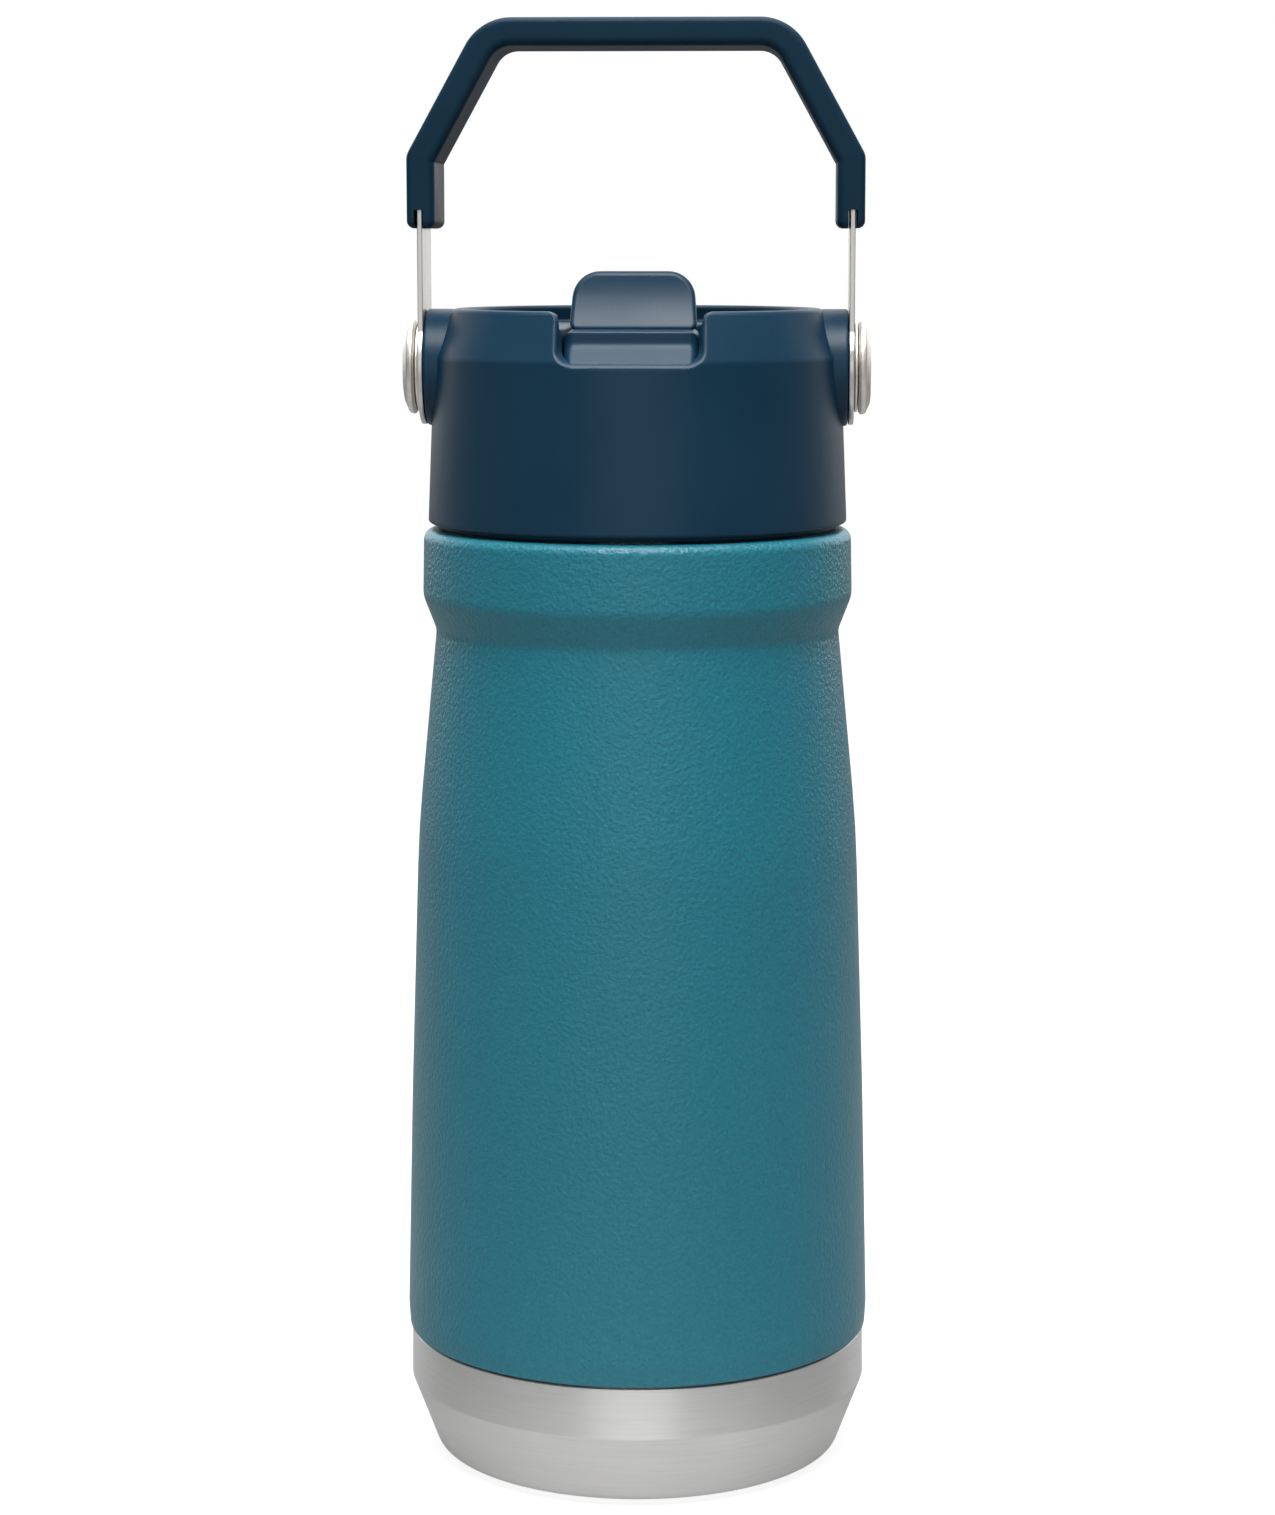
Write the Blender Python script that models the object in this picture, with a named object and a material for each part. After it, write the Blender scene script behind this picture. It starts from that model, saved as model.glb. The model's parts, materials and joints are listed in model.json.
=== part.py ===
"""Vacuum-insulated bottle with a screw-on lid, a flip-up straw spout and a swinging bail handle.

Standing upright on z = 0, axis on +Z, the thumb tab of the spout towards -Y, the handle pivots on +-X.
Lengths below are millimetres; MM turns them into Blender's metres.
"""

import math

import bmesh
import bpy
from mathutils import Matrix, Vector

MM = 0.001

# ---- driving dimensions -----------------------------------------------------------------------
BODY_R = 38.0            # largest outer radius, just above the bare steel base
BASE_TOP = 20.9          # lower edge of the painted shell
SHOULDER_TOP = 152.6     # top of the painted shoulder
SHEET = 0.6              # steel wall of shell, base and inner vessel
COLLAR_BOTTOM = 153.6
RIM_TOP = 187.7
CREASE_Z = 180.0         # where the collar starts to lean in
DECK_TOP = 185.0
DECK_UNDER = 182.8
SKIRT_R = 29.5           # inside radius of the collar wall
PIVOT_Z = 178.3          # handle pivot, on the X axis line
BOSS_R = 9.3
BOSS_FACE = 33.05
WELL_FLOOR = 169.0       # well that the spout lies in, open to the front through the notch
WELL_HALF = 11.0
WELL_FRONT = -28.6
WELL_BACK = 9.2
WELL_WALL = 2.0
NOTCH_HALF = 10.8
NOTCH_FLOOR = 179.6
HINGE_Z = 176.0          # spout hinge, y = 0
PIN_R = 1.5
PIN_HOLE_R = 1.8
BARREL_R = 6.0
SPOUT_HALF = 10.4
SPOUT_FRONT = -27.6
TAB_HALF = 10.0
TAB_TOP = 193.7
TAB_LEAN = 0.44          # backwards per unit of height
BORE_R = 3.2             # drinking bore through spout, seal and riser
NECK_R = 27.0            # inside wall of the neck
PLUG_R = 24.8            # outside wall of the lid plug
THREAD_HEIGHT = 1.8
THREAD_LEAD = 10.0       # two starts, 5 mm apart
THREAD_STARTS = 2
THREAD_TURNS = 0.75
VENT_Y = -14.0           # vent valve in the plug's floor
GRIP_TOP = 232.9
GRIP_OUTER = 36.05       # outer face of the grip's legs
GRIP_BOTTOM = 200.3
GRIP_LEAN = math.radians(29.0)   # of the arch's slanting sides
GRIP_DEPTH = 18.0
GRIP_THICK = 4.45
STRAP_IN = 33.75
STRAP_THICK = 0.85
STRAP_WIDTH = 14.0
STRAP_TOP = 211.0
EYE_R = 9.1              # round lower end of a strap
PEG_Z = 206.8            # peg of the grip that holds a strap
PEG_R = 1.5
PEG_HOLE_R = 1.9
SHANK_R = 2.5            # rivet shank
SHANK_HOLE_R = 2.8
WASHER_THICK = 0.4
GAP = 0.3                # between pieces that touch
SHIM = 0.15              # between the stacked discs of the handle pivot
TURN_STEPS = 44
INNER_STEPS = 28         # hidden turned pieces

# outer outline of the painted shell from shoulder to paint edge, as (radius, height)
SHELL_OUTLINE = [
    (28.6, SHOULDER_TOP), (32.9, SHOULDER_TOP), (33.6, 152.35), (34.1, 151.6), (34.35, 150.3),
    (34.55, 143.6), (34.35, 142.0), (33.82, 140.2), (32.75, 137.4), (32.6, 136.0), (32.75, 134.0),
    (35.45, 106.0), (35.9, 98.5), (36.6, 75.0), (37.3, 52.0), (BODY_R, 24.5), (37.95, 22.4),
    (37.7, BASE_TOP),
]
# outer outline of the bare steel base, from its lap joint inside the shell to the resting ring
BASE_OUTLINE = [
    (36.6, 27.0), (36.6, 20.6), (37.42, 20.6), (37.49, 16.0), (37.45, 12.4), (37.1, 11.1),
    (34.2, 3.6), (33.5, 2.1), (31.6, 0.7), (28.0, 0.0),
]
# outer outline of the inner vessel, from the neck's foot to its floor
VESSEL_OUTLINE = [
    (27.9, 139.5), (29.2, 136.5), (29.7, 132.0), (32.4, 106.0), (32.9, 98.0), (34.6, 30.0),
    (34.3, 22.0), (32.6, 15.0), (28.5, 10.6), (22.0, 8.7),
]


# ---- helpers ----------------------------------------------------------------------------------
def clear_scene():
    for item in list(bpy.data.objects):
        bpy.data.objects.remove(item, do_unlink=True)


def make_material(name, colour, roughness, metallic=0.0, alpha=1.0):
    mat = bpy.data.materials.new(name)
    mat.use_nodes = True
    shader = mat.node_tree.nodes["Principled BSDF"]
    shader.inputs["Base Color"].default_value = (*colour, 1.0)
    shader.inputs["Roughness"].default_value = roughness
    shader.inputs["Metallic"].default_value = metallic
    shader.inputs["Alpha"].default_value = alpha
    mat.diffuse_color = (*colour, alpha)
    return mat


def finish_mesh(name, bm, mat=None, parent=None, smooth_angle=30.0):
    """Turn a bmesh in millimetres into a linked object in metres, its origin at its parent's."""
    bmesh.ops.recalc_face_normals(bm, faces=bm.faces)
    origin = parent.location if parent else Vector((0.0, 0.0, 0.0))
    bm.transform(Matrix.Translation(-origin) @ Matrix.Scale(MM, 4))
    mesh = bpy.data.meshes.new(name)
    bm.to_mesh(mesh)
    bm.free()
    mesh.shade_smooth()
    mesh.set_sharp_from_angle(angle=math.radians(smooth_angle))
    obj = bpy.data.objects.new(name, mesh)
    bpy.context.scene.collection.objects.link(obj)
    if mat:
        mesh.materials.append(mat)
    if parent:
        obj.parent = parent
    return obj


def turned_bmesh(outline, steps=TURN_STEPS):
    """Spin a closed (radius, height) outline about Z; points on the axis become single poles."""
    bm = bmesh.new()
    rings = []
    for radius, height in outline:
        if radius < 1e-6:
            rings.append([bm.verts.new((0.0, 0.0, height))])
            continue
        ring = []
        for k in range(steps):
            angle = 2.0 * math.pi * k / steps
            ring.append(bm.verts.new((radius * math.cos(angle), radius * math.sin(angle), height)))
        rings.append(ring)
    for low, high in zip(rings, rings[1:] + rings[:1]):
        if len(low) == 1 and len(high) == 1:
            continue
        for k in range(steps):
            n = (k + 1) % steps
            if len(low) == 1:
                bm.faces.new((low[0], high[n], high[k]))
            elif len(high) == 1:
                bm.faces.new((low[k], low[n], high[0]))
            else:
                bm.faces.new((low[k], low[n], high[n], high[k]))
    return bm


def turned(name, outline, mat, parent=None, steps=TURN_STEPS, centre=(0.0, 0.0)):
    bm = turned_bmesh(outline, steps)
    bm.transform(Matrix.Translation((centre[0], centre[1], 0.0)))
    return finish_mesh(name, bm, mat, parent)


def turned_on_x(name, outline, side, height, mat, parent=None, steps=24):
    """Spin an outline of (radius, distance from the bottle's axis) about a line along X."""
    bm = turned_bmesh(outline, steps)
    bm.transform(Matrix.Rotation(side * math.radians(90.0), 4, "Y"))
    bm.transform(Matrix.Translation((0.0, 0.0, height)))
    return finish_mesh(name, bm, mat, parent)


def prism_bmesh(outline, axis, start, end):
    """Extrude a closed outline along X (outline in y, z), Y (in x, z) or Z (in x, y)."""
    bm = bmesh.new()
    caps = []
    for place in (start, end):
        if axis == "X":
            caps.append([bm.verts.new((place, a, b)) for a, b in outline])
        elif axis == "Y":
            caps.append([bm.verts.new((a, place, b)) for a, b in outline])
        else:
            caps.append([bm.verts.new((a, b, place)) for a, b in outline])
    count = len(outline)
    for k in range(count):
        n = (k + 1) % count
        bm.faces.new((caps[0][k], caps[0][n], caps[1][n], caps[1][k]))
    bm.faces.new(caps[0])
    bm.faces.new(caps[1][::-1])
    return bm


def box_bmesh(low, high):
    return prism_bmesh([(low[1], low[2]), (high[1], low[2]), (high[1], high[2]), (low[1], high[2])],
                       "X", low[0], high[0])


def arc(centre, radius, start, end, count):
    """Points on an arc, angles in degrees."""
    points = []
    for k in range(count + 1):
        angle = math.radians(start + (end - start) * k / count)
        points.append((centre[0] + radius * math.cos(angle), centre[1] + radius * math.sin(angle)))
    return points


def disc_outline(radius, centre, count):
    """A round outline, started a few degrees off so that cuts miss the corners of what they cut."""
    return arc(centre, radius, 3.7, 363.7 - 360.0 / count, count - 1)


def combine(target, tool_bmesh, operation):
    """Join or cut with a hidden tool mesh, kept in the scene as a wire guide."""
    tool = finish_mesh(target.name + "_tool", tool_bmesh, parent=target.parent)
    tool.hide_render = True
    tool.display_type = "WIRE"
    modifier = target.modifiers.new(operation.lower(), "BOOLEAN")
    modifier.operation = operation
    modifier.solver = "EXACT"
    modifier.object = tool


def offset_inwards(outline, wall):
    """Shift an outer outline towards the axis by the wall thickness, square to each stretch."""
    points = []
    for k, (radius, height) in enumerate(outline):
        before = outline[max(k - 1, 0)]
        after = outline[min(k + 1, len(outline) - 1)]
        dr, dz = after[0] - before[0], after[1] - before[1]
        length = math.hypot(dr, dz)
        points.append((radius + wall * dz / length, height - wall * dr / length))
    return points


def thread_bmesh(wall_r, crest_r, root_width, crest_width, bottom, turns, start_angle):
    """One helical ridge with tapered ends; its root is sunk into the wall it stands on."""
    sunk = wall_r - 0.4 if crest_r > wall_r else wall_r + 0.4
    steps = round(turns * 44)
    bm = bmesh.new()
    sections = []
    for k in range(steps + 1):
        angle = start_angle + 2.0 * math.pi * turns * k / steps
        height = bottom + THREAD_LEAD * turns * k / steps
        fade = min(1.0, min(k, steps - k) / 4.0 + 0.08)
        crest = wall_r + (crest_r - wall_r) * fade
        corners = [(sunk, -root_width / 2), (crest, -crest_width / 2),
                   (crest, crest_width / 2), (sunk, root_width / 2)]
        sections.append([bm.verts.new((r * math.cos(angle), r * math.sin(angle), height + dz))
                         for r, dz in corners])
    for a, b in zip(sections, sections[1:]):
        for k in range(4):
            n = (k + 1) % 4
            bm.faces.new((a[k], a[n], b[n], b[k]))
    bm.faces.new(sections[0])
    bm.faces.new(sections[-1][::-1])
    return bm


def add_threads(target, wall_r, crest_r, bottom, turns, first_angle):
    for start in range(THREAD_STARTS):
        angle = first_angle + 2.0 * math.pi * start / THREAD_STARTS
        combine(target, thread_bmesh(wall_r, crest_r, 2.3, 1.3, bottom, turns, angle), "UNION")


# ---- vacuum body ------------------------------------------------------------------------------
def make_outer_shell(mat):
    inner = offset_inwards(SHELL_OUTLINE, SHEET)
    inner[0] = (28.6, SHOULDER_TOP - SHEET)
    inner[-1] = (36.9, BASE_TOP)
    inner = [inner[k] for k in (0, 2, 4, 5, 7, 8, 10, 11, 12, 15, 17)]
    return turned("outer_shell", SHELL_OUTLINE + inner[::-1], mat)


def make_base_cup(mat):
    inner = offset_inwards(BASE_OUTLINE, SHEET)
    inner[0] = (36.6 - SHEET, 27.0)
    inner[-1] = (28.0, SHEET)
    floor = [(25.2, 0.0), (24.2, 0.9), (23.4, 1.8), (1.8, 1.8), (1.8, 1.8 + SHEET),
             (23.2, 1.8 + SHEET), (25.4, SHEET)]
    return turned("base_cup", BASE_OUTLINE + floor + inner[::-1], mat)


def make_inner_vessel(mat):
    wall = offset_inwards(VESSEL_OUTLINE, SHEET)
    wall[0] = (NECK_R, 139.2)
    lip = [(NECK_R, 152.7), (27.3, 153.2), (28.0, 153.2), (28.3, 152.9), (28.3, 152.2), (27.9, 151.6)]
    outline = lip + VESSEL_OUTLINE + [(0.0, 8.7), (0.0, 8.7 + SHEET)]
    outline += [(21.8, 8.7 + SHEET)] + wall[:-1][::-1]
    vessel = turned("inner_vessel", outline, mat, steps=INNER_STEPS)
    add_threads(vessel, NECK_R, NECK_R - THREAD_HEIGHT, 143.0, THREAD_TURNS, math.radians(90.0))
    return vessel


def make_radiation_foil(mat):
    path = [(33.2, 104.0), (33.45, 98.0), (35.1, 34.0)]
    inner = [(radius - 0.25, height) for radius, height in path]
    return turned("radiation_foil", path + inner[::-1], mat, steps=INNER_STEPS)


def make_getter(mat):
    return turned("getter", [(0.0, 8.4), (4.2, 8.4), (4.5, 8.0), (4.5, 6.2), (4.1, 5.8), (0.0, 5.8)],
                  mat, steps=24, centre=(12.0, 0.0))


def make_vacuum_plug(mat):
    outline = [(0.0, 3.4), (1.5, 3.4), (1.5, 1.5), (4.0, 1.5), (4.0, 1.1), (3.2, 0.7), (0.0, 0.6)]
    return turned("vacuum_plug", outline, mat, steps=20)


# ---- lid --------------------------------------------------------------------------------------
def collar_outline():
    outside = [(31.2, COLLAR_BOTTOM), (33.0, COLLAR_BOTTOM), (33.5, 153.85), (33.65, 154.6),
               (33.09, 168.0), (32.55, CREASE_Z), (32.3, 180.8), (29.75, 187.0), (29.35, 187.55),
               (28.8, RIM_TOP)]
    inside = [(27.9, RIM_TOP), (27.5, 187.4), (27.3, 186.8), (27.3, DECK_TOP), (0.0, DECK_TOP),
              (0.0, DECK_UNDER), (SKIRT_R, DECK_UNDER), (SKIRT_R, 157.8), (30.2, 157.8), (30.2, 154.6)]
    return outside + inside


def notch_outline():
    """Front view of the thumb notch in the collar wall, as (x, z)."""
    corner, above = 2.0, RIM_TOP + 2.3
    left = arc((-NOTCH_HALF + corner, NOTCH_FLOOR + corner), corner, 180.0, 270.0, 5)
    right = arc((NOTCH_HALF - corner, NOTCH_FLOOR + corner), corner, 270.0, 360.0, 5)
    return left + right + [(NOTCH_HALF, above), (-NOTCH_HALF, above)]


def make_lid_collar(mat, parent):
    collar = turned("lid_collar", collar_outline(), mat, parent)
    # walls and floor of the spout's well; its front corners stay inside the leaning part of the wall
    half, rear = WELL_HALF + WELL_WALL, WELL_BACK + WELL_WALL
    block = [(-half, rear), (-half, -27.4), (-8.0, -29.8), (8.0, -29.8), (half, -27.4), (half, rear)]
    combine(collar, prism_bmesh(block, "Z", WELL_FLOOR - 2.2, DECK_TOP - 1.0), "UNION")
    for side in (-1, 1):
        boss = [(1.5, 29.7), (BOSS_R, 29.7), (BOSS_R, BOSS_FACE - 0.35), (BOSS_R - 0.35, BOSS_FACE),
                (1.5, BOSS_FACE)]
        bm = turned_bmesh(boss, 40)
        bm.transform(Matrix.Rotation(side * math.radians(90.0), 4, "Y"))
        bm.transform(Matrix.Translation((0.0, 0.0, PIVOT_Z)))
        combine(collar, bm, "UNION")
    well = box_bmesh((-WELL_HALF, WELL_FRONT, WELL_FLOOR), (WELL_HALF, WELL_BACK, RIM_TOP + 3.0))
    combine(collar, well, "DIFFERENCE")
    combine(collar, prism_bmesh(notch_outline(), "Y", -36.0, -26.0), "DIFFERENCE")
    pin_hole = disc_outline(PIN_HOLE_R, (0.0, HINGE_Z), 20)
    combine(collar, prism_bmesh(pin_hole, "X", -half - 1.0, half + 1.0), "DIFFERENCE")
    for side in (-1, 1):
        hole = disc_outline(SHANK_HOLE_R, (0.0, PIVOT_Z), 24)
        combine(collar, prism_bmesh(hole, "X", side * 27.0, side * 34.0), "DIFFERENCE")
    # round opening in the well's floor for the port seal
    low, high, port_r = WELL_FLOOR - 3.0, WELL_FLOOR + 1.0, 7.3
    port = [(0.0, low), (port_r, low), (port_r, high), (0.0, high)]
    combine(collar, turned_bmesh(port, 32), "DIFFERENCE")
    return collar


def make_lid_plug(mat, parent):
    outline = [
        (BORE_R, 166.5), (8.5, 166.5), (8.5, 165.2), (4.8, 164.8), (4.8, 141.0), (22.8, 141.0),
        (22.8, 157.5), (29.9, 157.5), (29.9, 155.0), (25.7, 155.0), (25.7, 153.0), (PLUG_R, 152.6),
        (PLUG_R, 140.0), (23.8, 139.0), (4.3, 139.0), (4.3, 132.0), (3.9, 131.0), (BORE_R, 131.0),
    ]
    plug = turned("lid_plug", outline, mat, parent, INNER_STEPS)
    add_threads(plug, PLUG_R, PLUG_R + THREAD_HEIGHT, 141.5, THREAD_TURNS, math.radians(126.0))
    vent = turned_bmesh([(0.0, 137.0), (1.6, 137.0), (1.6, 143.0), (0.0, 143.0)], 16)
    vent.transform(Matrix.Translation((0.0, VENT_Y, 0.0)))
    combine(plug, vent, "DIFFERENCE")
    return plug


def make_lid_gasket(mat, parent):
    outline = [(26.0, 153.9), (26.5, 153.5), (28.6, 153.5), (29.2, 154.1), (28.8, 154.7), (26.0, 154.7)]
    return turned("lid_gasket", outline, mat, parent, INNER_STEPS)


def make_port_seal(mat, parent):
    outline = [(3.4, 166.9), (7.0, 166.9), (7.0, 169.0), (5.6, 169.7), (3.4, 169.5)]
    return turned("port_seal", outline, mat, parent, steps=24)


def make_vent_valve(mat, parent):
    outline = [(0.0, 142.4), (2.4, 142.2), (2.4, 141.4), (1.2, 141.4), (1.2, 138.7), (3.4, 138.5),
               (3.0, 137.9), (0.0, 137.4)]
    return turned("vent_valve", outline, mat, parent, steps=20, centre=(0.0, VENT_Y))


def make_straw_sleeve(mat, parent):
    outline = [(4.65, 138.6), (6.1, 138.6), (6.4, 138.2), (6.4, 121.4), (6.1, 121.0), (4.65, 121.0)]
    return turned("straw_sleeve", outline, mat, parent, steps=20)


def make_straw(mat, parent):
    bm = turned_bmesh([(BORE_R, 130.6), (4.3, 130.6), (4.3, 14.0), (BORE_R, 14.0)], 20)
    for vert in bm.verts:
        if vert.co.z < 20.0:
            vert.co.z += 0.5 * vert.co.x
    return finish_mesh("straw", bm, mat, parent)


# ---- flip spout -------------------------------------------------------------------------------
def spout_outline():
    """Side view of the closed spout as (y, z): mouth end at -Y, hinge barrel on y = 0."""
    scoop = [(SPOUT_FRONT, 178.7), (-27.45, 179.3), (-27.0, 179.9), (-24.9, 181.5), (-24.2, 182.3),
             (-23.85, 183.1), (-23.75, 184.2), (-23.45, 184.55)]
    ledge = [(-13.6, 184.85), (-8.5, 184.6), (-4.6, 182.6)]
    barrel = arc((0.0, HINGE_Z), BARREL_R, 115.0, -90.0, 14)
    under = [(-23.5, 170.2), (-26.6, 171.0), (SPOUT_FRONT, 173.0)]
    return scoop + ledge + barrel + under


def tab_bmesh():
    """Thumb tab: a plate with rounded top corners, leaning back from the ledge it stands on."""
    corner, foot, top_half = 4.2, 182.0, TAB_HALF - 0.6
    outline = [(-TAB_HALF, foot), (TAB_HALF, foot)]
    outline += arc((top_half - corner, TAB_TOP - corner), corner, 0.0, 90.0, 6)
    outline += arc((-top_half + corner, TAB_TOP - corner), corner, 90.0, 180.0, 6)
    bm = prism_bmesh(outline, "Y", -16.8, -14.2)
    for vert in bm.verts:
        vert.co.y += TAB_LEAN * (vert.co.z - DECK_TOP)
    return bm


def make_flip_spout(mat, parent):
    body = prism_bmesh(spout_outline(), "X", -SPOUT_HALF, SPOUT_HALF)
    spout = finish_mesh("flip_spout", body, mat, parent)
    combine(spout, tab_bmesh(), "UNION")
    bore = disc_outline(BORE_R, (0.0, HINGE_Z), 24)
    combine(spout, prism_bmesh(bore, "Y", -30.0, 8.0), "DIFFERENCE")
    for side in (-1, 1):
        pin_hole = disc_outline(PIN_HOLE_R, (0.0, HINGE_Z), 20)
        combine(spout, prism_bmesh(pin_hole, "X", side * 5.0, side * 12.0), "DIFFERENCE")
    return spout


def make_spout_pin(name, side, mat, parent):
    inner_end, outer_end, chamfer = 5.4, 12.9, 0.3
    outline = [(0.0, inner_end), (PIN_R - chamfer, inner_end), (PIN_R, inner_end + chamfer),
               (PIN_R, outer_end - chamfer), (PIN_R - chamfer, outer_end), (0.0, outer_end)]
    return turned_on_x(name, outline, side, HINGE_Z, mat, parent, 20)


# ---- handle and its pivots --------------------------------------------------------------------
def make_spacer(name, side, mat, parent):
    low, high = BOSS_FACE + SHIM, STRAP_IN - SHIM
    outline = [(SHANK_HOLE_R, low), (5.4, low), (5.4, high), (SHANK_HOLE_R, high)]
    return turned_on_x(name, outline, side, PIVOT_Z, mat, parent)


def make_washer(name, side, mat, parent):
    low = STRAP_IN + STRAP_THICK + SHIM
    high = low + WASHER_THICK
    outline = [(SHANK_HOLE_R, low), (7.1, low), (7.1, high), (SHANK_HOLE_R, high)]
    return turned_on_x(name, outline, side, PIVOT_Z, mat, parent)


def make_rivet(name, side, mat, parent):
    """Shouldered rivet: small inner head behind the collar wall, shank, broad domed outer head."""
    under = STRAP_IN + STRAP_THICK + SHIM + WASHER_THICK + SHIM
    outline = [
        (0.0, 27.7), (3.8, 27.7), (3.8, 28.9), (SHANK_R, 28.9), (SHANK_R, under), (6.9, under),
        (7.5, under + 0.5), (7.3, under + 1.15), (5.6, under + 1.95), (4.9, under + 2.0),
        (0.0, under + 2.0),
    ]
    return turned_on_x(name, outline, side, PIVOT_Z, mat, parent)


def strap_outline():
    """Side view of a strap, as (y, z): a round eye below, straight sides, rounded top."""
    half, corner = STRAP_WIDTH / 2, 2.0
    join = math.degrees(math.acos(half / EYE_R))
    points = arc((0.0, PIVOT_Z), EYE_R, 180.0 - join, 360.0 + join, 26)
    points += arc((half - corner, STRAP_TOP - corner), corner, 0.0, 90.0, 3)
    points += arc((-half + corner, STRAP_TOP - corner), corner, 90.0, 180.0, 3)
    return points


def make_strap(name, side, mat, parent):
    low, high = side * STRAP_IN, side * (STRAP_IN + STRAP_THICK)
    strap = finish_mesh(name, prism_bmesh(strap_outline(), "X", low, high), mat, parent)
    for radius, height in ((SHANK_HOLE_R, PIVOT_Z), (PEG_HOLE_R, PEG_Z)):
        hole = disc_outline(radius, (0.0, height), 24)
        combine(strap, prism_bmesh(hole, "X", side * 32.0, side * 36.0), "DIFFERENCE")
    return strap


def grip_path():
    """Outer line of the arch in the XZ plane with the inward direction at each station."""
    top_r, bend_r, knee_z = 8.3, 3.0, 211.7
    # right leg, upwards: vertical, then leaning in, then the top bar
    stations = [(GRIP_OUTER, GRIP_BOTTOM, 0.0), (GRIP_OUTER, GRIP_BOTTOM + 2.7, 0.0)]
    bend_z = knee_z - bend_r * math.tan(GRIP_LEAN / 2)
    for k in range(4):
        angle = GRIP_LEAN * k / 3
        x = GRIP_OUTER - bend_r * (1 - math.cos(angle))
        stations.append((x, bend_z + bend_r * math.sin(angle), angle))
    start_x, start_z = stations[-1][0], stations[-1][1]
    drop = top_r * (1 - math.sin(GRIP_LEAN))
    run_z = GRIP_TOP - drop - start_z
    knee_x = start_x - run_z * math.tan(GRIP_LEAN)
    for k in range(9):
        angle = GRIP_LEAN + (math.pi / 2 - GRIP_LEAN) * k / 8
        x = knee_x - top_r * (math.cos(GRIP_LEAN) - math.cos(angle))
        z = GRIP_TOP - drop + top_r * (math.sin(angle) - math.sin(GRIP_LEAN))
        stations.append((x, z, angle))
    right = stations
    left = [(-x, z, math.pi - angle) for x, z, angle in reversed(right)]
    return right + left


def make_grip(mat, parent):
    bevel_out, bevel_in, half = 0.9, 1.2, GRIP_DEPTH / 2
    section = [(0.0, -half + bevel_out), (bevel_out, -half), (GRIP_THICK - bevel_in, -half),
               (GRIP_THICK, -half + bevel_in), (GRIP_THICK, half - bevel_in),
               (GRIP_THICK - bevel_in, half), (bevel_out, half), (0.0, half - bevel_out)]
    bm = bmesh.new()
    rings = []
    for x, z, angle in grip_path():
        inward = (-math.cos(angle), -math.sin(angle))
        rings.append([bm.verts.new((x + depth * inward[0], y, z + depth * inward[1]))
                      for depth, y in section])
    for a, b in zip(rings, rings[1:]):
        for k in range(8):
            n = (k + 1) % 8
            bm.faces.new((a[k], a[n], b[n], b[k]))
    bm.faces.new(rings[0])
    bm.faces.new(rings[-1][::-1])
    grip = finish_mesh("grip", bm, mat, parent)
    # a slot for each strap, flared where the strap enters, and the peg through the strap's hole
    for side in (-1, 1):
        near, far = side * (STRAP_IN - GAP), side * (STRAP_IN + STRAP_THICK + GAP)
        low_x, high_x = min(near, far), max(near, far)
        half_slot = STRAP_WIDTH / 2 + GAP
        combine(grip, box_bmesh((low_x, -half_slot, 199.0), (high_x, half_slot, STRAP_TOP + GAP)),
                "DIFFERENCE")
        combine(grip, box_bmesh((low_x, -10.0, 199.0), (high_x, 10.0, 203.2)), "DIFFERENCE")
        peg = disc_outline(PEG_R, (0.0, PEG_Z), 20)
        combine(grip, prism_bmesh(peg, "X", side * 32.6, side * 35.5), "UNION")
    return grip


# ---- assembly ---------------------------------------------------------------------------------
def pivot_empty(name, place):
    empty = bpy.data.objects.new(name, None)
    empty.location = Vector(place) * MM
    bpy.context.scene.collection.objects.link(empty)
    return empty


def main():
    clear_scene()
    paint = make_material("teal_powder_coat", (0.027, 0.149, 0.191), 0.45)
    steel = make_material("brushed_steel", (0.62, 0.61, 0.59), 0.32, 1.0)
    navy = make_material("navy_plastic", (0.012, 0.036, 0.062), 0.5)
    silicone = make_material("grey_silicone", (0.55, 0.57, 0.58), 0.6)
    copper = make_material("copper_foil", (0.72, 0.36, 0.22), 0.3, 1.0)
    alloy = make_material("getter_alloy", (0.2, 0.2, 0.21), 0.7, 0.6)
    black = make_material("black_nylon", (0.012, 0.012, 0.013), 0.5)
    clear = make_material("smoke_polypropylene", (0.45, 0.5, 0.53), 0.3)

    lid = pivot_empty("lid_axis", (0.0, 0.0, COLLAR_BOTTOM))
    spout = pivot_empty("spout_axis", (0.0, 0.0, HINGE_Z))
    handle = pivot_empty("handle_axis", (0.0, 0.0, PIVOT_Z))

    make_outer_shell(paint)
    make_base_cup(steel)
    make_inner_vessel(steel)
    make_radiation_foil(copper)
    make_getter(alloy)
    make_vacuum_plug(steel)

    make_lid_collar(navy, lid)
    make_lid_plug(navy, lid)
    make_lid_gasket(silicone, lid)
    make_port_seal(silicone, lid)
    make_vent_valve(silicone, lid)
    make_straw_sleeve(silicone, lid)
    make_straw(clear, lid)
    make_flip_spout(navy, spout)
    make_grip(navy, handle)
    for word, side in (("left", -1), ("right", 1)):
        make_spout_pin("spout_pin_" + word, side, steel, lid)
        make_spacer("pivot_spacer_" + word, side, black, lid)
        make_washer("pivot_washer_" + word, side, steel, lid)
        make_rivet("pivot_rivet_" + word, side, steel, lid)
        make_strap("handle_strap_" + word, side, steel, handle)


main()
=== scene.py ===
"""The looks of the vacuum bottle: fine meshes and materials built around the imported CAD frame.

Lengths are millimetres in the frame of the CAD model, turned into Blender's metres by MM. Every fine
mesh stands for one CAD node and rides on that node's body.
"""

import json
import math

import bmesh
import bpy
from mathutils import Matrix, Vector


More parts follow.
